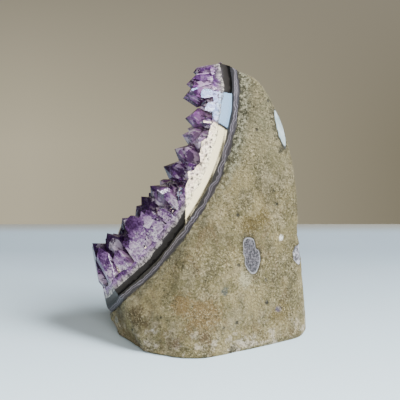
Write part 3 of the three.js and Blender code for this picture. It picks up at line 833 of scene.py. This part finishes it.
# ---- the crystals --------------------------------------------------------------------------------
CRYSTAL_ROOT = 4.0
POINT_HEIGHT = 0.62
ROW_GAP = 0.87  # between rows of crystals, as a share of the gap along a row
STRAY = 0.27  # how far a crystal may stand from its place in the row, as the same share
LEAN = 15  # degrees that a crystal may lean up the hollow or across it
OVERLAP = 0.05  # the crystals reach this far into the quartz that they grow from
PAST_RIM = 4  # the cutting body goes this far outside the stone
HIGHEST_FOOT = 2.5  # a part that starts higher than this over the quartz is a cut-off fragment
BLOCK_SIDE = 0.4  # metres, larger than the stone
RANDOM = np.random.default_rng(41)


def boolean(target, operation, operand):
    """Applies one Boolean with an object or a collection of them, and gives back the target."""
    step = target.modifiers.new("join", "BOOLEAN")
    step.operation, step.solver = operation, "MANIFOLD"
    if isinstance(operand, bpy.types.Collection):
        step.operand_type, step.collection = "COLLECTION", operand
    else:
        step.object = operand
    result = bpy.data.meshes.new_from_object(target.evaluated_get(bpy.context.evaluated_depsgraph_get()))
    target.modifiers.clear()
    target.data = result
    return target


def discard(objects):
    for item in list(objects):
        bpy.data.objects.remove(item, do_unlink=True)


def crystal_points(foot, direction, length, width, spin, offset):
    """Corners of six-sided prisms with six-faced points: root, shoulder, tip and the root's middle."""
    angles = spin[:, None] + np.arange(6) * np.pi / 3
    side = unit(np.cross(direction, UPSLOPE))
    other = np.cross(direction, side)
    corner = (width / np.sqrt(3))[:, None, None]
    ring = corner * (np.cos(angles)[..., None] * side[:, None] + np.sin(angles)[..., None] * other[:, None])
    stagger = np.where(np.arange(6) % 2, 0.12, -0.12) * width[:, None]
    shoulder = (length - POINT_HEIGHT * width)[:, None] + stagger
    low = foot[:, None] + ring
    high = low + shoulder[..., None] * direction[:, None]
    lean = corner[:, 0] * (offset[:, :1] * side + offset[:, 1:] * other)
    tip = foot + length[:, None] * direction + lean
    return np.concatenate([low, high, tip[:, None], foot[:, None]], 1)


def crystal_faces():
    k = np.arange(6)
    j = (k + 1) % 6
    walls = np.stack([k, j, 6 + j, 6 + k], -1)
    fans = np.concatenate([np.stack([6 + k, 6 + j, 12 + 0 * k], -1), np.stack([j, k, 13 + 0 * k], -1)])
    return walls, fans


def growth_direction(t, w, lean_up, lean_across):
    up, across = np.tan(np.radians(lean_up)), np.tan(np.radians(lean_across))
    return unit(sheet_normal(t, w) + up[:, None] * UPSLOPE + across[:, None] * ACROSS)


def tall_crystals():
    tips, widths, leans = (np.array([row[n] for row in TALL_CRYSTALS], float) for n in range(3))
    q = tips - SHEET_CENTRE
    direction = growth_direction(q @ UPSLOPE, q @ ACROSS, leans[:, 0], leans[:, 1])
    length = level_of(tips) - QUARTZ_TOP + CRYSTAL_ROOT
    count = len(tips)
    feet = tips - length[:, None] * direction
    return [feet, direction, length, widths, RANDOM.uniform(0, 1, count), np.zeros((count, 2))]


def scattered_crystals(spacing, low_width, high_width, shortfall, inset, tall_feet, clearance):
    """Crystals side by side over the whole hollow, in rows set half a step over, each a little astray."""
    up_rows, across_columns = np.arange(-66, 66, ROW_GAP * spacing), np.arange(-34, 34, spacing)
    rows, columns = np.meshgrid(up_rows, across_columns, indexing="ij")
    count = rows.size
    stray = RANDOM.uniform(-STRAY, STRAY, (2, count)) * spacing
    t = rows.ravel() + stray[0]
    w = columns.ravel() + stray[1] + 0.5 * spacing * (np.arange(rows.shape[0]) % 2).repeat(rows.shape[1])
    width = RANDOM.uniform(low_width, high_width, count)
    direction = growth_direction(t, w, *RANDOM.uniform(-LEAN, LEAN, (2, count)))
    gain = np.clip((5 - t) / 30, -1, 1) * CRYSTAL_TOP_GAIN
    top = CRYSTAL_TOP + gain - CRYSTAL_TOP_DROP * w**2 - RANDOM.uniform(*shortfall, count)
    length = top - QUARTZ_TOP + CRYSTAL_ROOT
    foot = sheet_point(t, w, np.full(count, QUARTZ_TOP - CRYSTAL_ROOT))
    spread = foot - HEART
    distance = np.linalg.norm(spread, axis=-1)
    kept = distance < ground(spread / distance[:, None]) - inset * width
    if tall_feet is not None:
        kept &= np.linalg.norm(foot[:, None] - tall_feet, axis=-1).min(-1) > clearance
    spin, offset = RANDOM.uniform(0, 1, count), RANDOM.uniform(-0.3, 0.3, (count, 2))
    rows = [foot, direction, length, width, spin, offset]
    return [row[kept] for row in rows]


def polished_block():
    """A box cut by every flat and every face of the rock, closed again after each cut."""
    block = bmesh.new()
    bmesh.ops.create_cube(block, size=BLOCK_SIDE)
    for faces in (FLATS, ROCK):
        for normal, distance in zip(*faces):
            everything = block.verts[:] + block.edges[:] + block.faces[:]
            cut = bmesh.ops.bisect_plane(
                block, geom=everything, plane_co=Vector(normal * distance * MM),
                plane_no=Vector(normal), clear_outer=True,
            )
            edges = [item for item in cut["geom_cut"] if isinstance(item, bmesh.types.BMEdge)]
            bmesh.ops.edgeloop_fill(block, edges=edges)
    bmesh.ops.recalc_face_normals(block, faces=block.faces)
    mesh = bpy.data.meshes.new("block")
    block.to_mesh(mesh)
    piece = bpy.data.objects.new("block", mesh)
    bpy.context.scene.collection.objects.link(piece)
    return piece


def below_quartz():
    """All that the crystals grow from: up to the quartz's edge inside the rim, and past the rim outside."""
    polar = rim_polar(QUARTZ_EDGE)
    past = polar + shares(10) * (np.pi - 0.02 - polar)
    near = polar + shares(8)[:-1] * 0.1 * (np.pi - 0.02 - polar)
    angles = np.concatenate([near, past])
    d = about_axis(TURNS + 0 * angles, angles)
    reach = np.minimum(sheet_reach(d, QUARTZ_EDGE(d) - OVERLAP), ground(d) + PAST_RIM)
    rings = np.concatenate([sheet_rings(QUARTZ_EDGE, polar, -OVERLAP), at(d, reach)])
    last = at(-AXIS[None], ground(-AXIS[None]) + PAST_RIM)[0]
    return skin("below_quartz", rings, pole(QUARTZ_EDGE, -OVERLAP), last, None)


def druse():
    """Six-sided crystals grown into one another, ground flat where they meet the rim."""
    tall = tall_crystals()
    large = scattered_crystals(
        spacing=7.0, low_width=4.5, high_width=7.5, shortfall=(0, 5.5),
        inset=0.45, tall_feet=tall[0], clearance=3.8,
    )
    small = scattered_crystals(
        spacing=4.6, low_width=2.4, high_width=4.4, shortfall=(2, 9),
        inset=0.1, tall_feet=None, clearance=0,
    )
    walls, fans = crystal_faces()
    points = np.concatenate([crystal_points(*rows) for rows in (tall, large, small)])
    crystals = [make_object("crystal", corners, walls, fans, None, False) for corners in points]
    materials = [
        cut_amethyst_material(),
        amethyst_material("pale_amethyst", (1.0, 1.0, 1.0), 0.45),
        amethyst_material("amethyst", (0.86, 0.68, 0.90), 0.5),
        amethyst_material("deep_amethyst", (0.34, 0.18, 0.46), 0.55),
    ]
    for crystal, kind in zip(crystals, RANDOM.integers(1, 4, len(crystals))):
        for material in materials:
            crystal.data.materials.append(material)
        crystal.data.polygons.foreach_set("material_index", np.full(len(crystal.data.polygons), kind))
    others = bpy.data.collections.new("crystals")
    bpy.context.scene.collection.children.link(others)
    for crystal in crystals[1:]:
        bpy.context.scene.collection.objects.unlink(crystal)
        others.objects.link(crystal)
    grown = boolean(crystals[0], "UNION", others)
    block, below = polished_block(), below_quartz()
    boolean(grown, "INTERSECT", block)
    boolean(grown, "DIFFERENCE", below)
    discard([*others.objects, block, below])
    bpy.data.collections.remove(others)
    drop_loose(grown, QUARTZ_TOP + HIGHEST_FOOT)
    grown.name = grown.data.name = "amethyst_crystals"
    grown.data.polygons.foreach_set("use_smooth", np.zeros(len(grown.data.polygons), bool))
    return grown


def drop_loose(piece, highest_foot):
    """Deletes the cut-off fragments: connected parts whose lowest level is above this."""
    mesh = piece.data
    ends, places = np.empty(2 * len(mesh.edges), np.int32), np.empty(3 * len(mesh.vertices), np.float32)
    mesh.edges.foreach_get("vertices", ends)
    mesh.vertices.foreach_get("co", places)
    ends = ends.reshape(-1, 2)
    label, before = np.arange(len(mesh.vertices)), None
    while before is None or (label != before).any():
        before = label.copy()
        for end in ends.T:
            np.minimum.at(label, end, before[ends].min(1))
        label = label[label]
    lowest = np.full(len(label), np.inf)
    np.minimum.at(lowest, label, level_of(places.reshape(-1, 3) / MM))
    loose = lowest[label] > highest_foot
    edited = bmesh.new()
    edited.from_mesh(mesh)
    edited.verts.ensure_lookup_table()
    bmesh.ops.delete(edited, geom=[edited.verts[n] for n in np.flatnonzero(loose)], context="VERTS")
    edited.to_mesh(mesh)


pieces = [
    (rock(), "basalt_rock", "basalt"),
    (layer("agate_band", CONTACT, AGATE_EDGE, agate_material()), "banded_agate", "agate"),
    (
        layer("chalcedony_band", AGATE_EDGE, CHALCEDONY_EDGE, chalcedony_material()),
        "grey_chalcedony", "chalcedony",
    ),
    (layer("quartz_band", CHALCEDONY_EDGE, QUARTZ_EDGE, quartz_material()), "amethyst_druse", "amethyst"),
    (druse(), "amethyst_druse", "amethyst"),
    (FILLINGS[0].build(), "agate_nodule", "nodule_agate"),
    (FILLINGS[1].build(), "quartz_nodule", "nodule_quartz"),
    (FILLINGS[2].build(), "chalcedony_nodule", "nodule_chalcedony"),
]
for piece, node, slot in pieces:
    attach(piece, "root")
    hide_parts(node)
    print("piece", piece.name, len(piece.data.vertices), len(piece.data.polygons))

# ---- camera --------------------------------------------------------------------------------------
CAMERA_DISTANCE = 0.56
CAMERA_TILT = np.radians(15)
AIM = Vector((0.0008, 0, 0.0546))
camera_data = bpy.data.cameras.new("camera")
camera_data.lens = 127.5
camera_data.sensor_width = 36
camera_data.clip_start = 0.01
camera = bpy.data.objects.new("camera", camera_data)
bpy.context.scene.collection.objects.link(camera)
back = Vector((0, -np.cos(CAMERA_TILT), np.sin(CAMERA_TILT)))
camera.location = AIM + back * CAMERA_DISTANCE
camera.rotation_mode = "QUATERNION"
camera.rotation_quaternion = (-back).to_track_quat("-Z", "Y")
bpy.context.scene.camera = camera


# ---- room and light ------------------------------------------------------------------------------
STONE_MIDDLE = Vector((0, 0, 0.055))


def panel_light(name, towards, distance, size, power_per_area, colour):
    """A soft rectangular light in a direction from the stone's middle, turned to face it."""
    data = bpy.data.lights.new(name, "AREA")
    data.shape = "RECTANGLE"
    data.size, data.size_y = size
    data.energy = power_per_area * size[0] * size[1]
    data.color = colour
    lamp = bpy.data.objects.new(name, data)
    bpy.context.scene.collection.objects.link(lamp)
    towards = Vector(towards).normalized()
    lamp.location = STONE_MIDDLE + towards * distance
    lamp.rotation_mode = "QUATERNION"
    lamp.rotation_quaternion = (-towards).to_track_quat("-Z", "Y")
    lamp.visible_camera = False
    return lamp


window = panel_light(
    "window", towards=(-0.59, -0.65, 0.48), distance=1.2, size=(0.26, 0.26),
    power_per_area=205, colour=(1.0, 0.89, 0.56),
)
sky = panel_light(
    "sky", towards=(-0.35, -0.49, 0.83), distance=1.2, size=(0.30, 0.22),
    power_per_area=125, colour=(0.42, 0.68, 1.0),
)
panel_light(
    "ceiling", towards=(0.75, -0.22, 0.95), distance=1.4, size=(0.6, 0.6),
    power_per_area=176, colour=(0.93, 0.965, 1.0),
)
fill = panel_light(
    "fill", towards=(0.15, -0.9, 0.5), distance=1.4, size=(0.9, 0.9),
    power_per_area=24, colour=(1.0, 0.95, 0.93),
)
panel_light(
    "rim", towards=(-0.5, 0.75, 0.6), distance=1.3, size=(0.5, 0.5),
    power_per_area=6, colour=(1.0, 0.98, 0.95),
)
window.visible_diffuse = sky.visible_diffuse = False  # these two only show in what is polished
fill.visible_glossy = False

world = bpy.data.worlds.new("room")
bpy.context.scene.world = world
world.use_nodes = True
nodes, links = world.node_tree.nodes, world.node_tree.links
parts = nodes.new("ShaderNodeSeparateXYZ")
links.new(nodes.new("ShaderNodeTexCoord").outputs["Generated"], parts.inputs[0])


def world_ramp(socket, low, high):
    node = nodes.new("ShaderNodeMapRange")
    links.new(socket, node.inputs["Value"])
    node.inputs["From Min"].default_value, node.inputs["From Max"].default_value = low, high
    return node.outputs[0]


def world_mix(share, a, b):
    node = nodes.new("ShaderNodeMix")
    node.data_type = "RGBA"
    links.new(share, node.inputs[0])
    for socket, value in ((node.inputs[6], a), (node.inputs[7], b)):
        if isinstance(value, tuple):
            socket.default_value = value
        else:
            links.new(value, socket)
    return node.outputs[2]


lit_side = world_ramp(parts.outputs[0], -0.12, 0.16)
wall = world_mix(lit_side, (0.575, 0.515, 0.365, 1), (0.225, 0.198, 0.138, 1))
wall = world_mix(world_ramp(parts.outputs[2], -0.22, -0.10), wall, (0.29, 0.26, 0.195, 1))
room = world_mix(world_ramp(parts.outputs[1], 0.55, 0.9), (0.14, 0.135, 0.125, 1), wall)
links.new(room, nodes["Background"].inputs["Color"])

table_material = Shader("pale_table", Roughness=0.45)
# Painted light: the table is paler towards the near edge and darker towards the back, as the light falls off
# across it.
depth = table_material.ramp(table_material.axis_part(1), -110, 110, smooth=False)
clouds = table_material.ramp(table_material.noise(40, 2), 0.3, 0.7, 0, 0.04)
pale = table_material.mix(depth, (0.76, 0.93, 1.0), (0.26, 0.325, 0.375))
pale = table_material.mix(clouds, pale, (0.62, 0.72, 0.78))
dim_edge = table_material.ramp(table_material.axis_part(1), 138, 156, 0, 0.9)
table_material.set(Base_Color=table_material.mix(dim_edge, pale, (0.20, 0.19, 0.155)))
TABLE_SIDE = 0.312
bpy.ops.mesh.primitive_plane_add(size=TABLE_SIDE)
table = bpy.context.object
table.name = "table"
table.data.materials.append(table_material.material)
